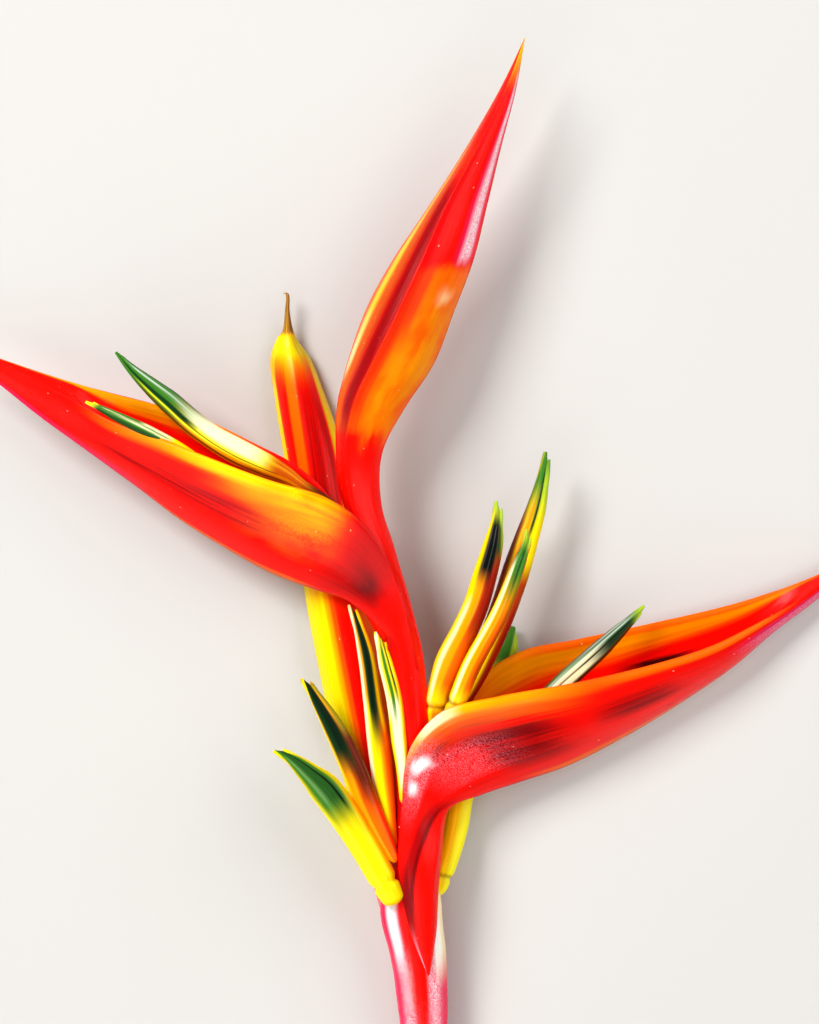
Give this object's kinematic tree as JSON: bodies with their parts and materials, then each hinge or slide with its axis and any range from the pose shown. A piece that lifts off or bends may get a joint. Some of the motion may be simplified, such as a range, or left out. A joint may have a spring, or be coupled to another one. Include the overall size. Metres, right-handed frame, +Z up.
{
  "type": "cut parrot heliconia flower",
  "caption": "Cut heliconia flower spike lying on its back: a straight stem, a zigzag axis, boat-shaped bracts on both sides and narrow green-tipped florets in their axils.",
  "frame": {"origin": "on the table, under the middle of the flower's bounding box", "axes": "+Y from the cut end of the stem to the tip of the top bract, +Z up from the table, towards the side that the picture shows"},
  "size_m": [0.1866, 0.2462, 0.0238],
  "materials": {
    "stem": "waxy fresh plant skin, rose red",
    "bract_red": "waxy bract skin, scarlet running to orange at the rims",
    "bract_yellow": "waxy bract skin, yellow with red bands",
    "floret": "waxy floret skin, yellow at the stalk and green at the tip"
  },
  "bodies": {
    "root": {"stem_and_rachis": "stem", "bract_middle_left": "bract_red", "bract_lower_right": "bract_red", "bract_top": "bract_red", "bract_back": "bract_yellow", "floret_left_1": "floret", "floret_left_2": "floret", "floret_left_3": "floret", "floret_left_4": "floret", "floret_right_1": "floret", "floret_right_2": "floret", "floret_right_3": "floret", "floret_behind": "floret", "floret_in_lower_bract": "floret", "floret_in_middle_bract_1": "floret", "floret_in_middle_bract_2": "floret"}
  },
  "joints": []
}
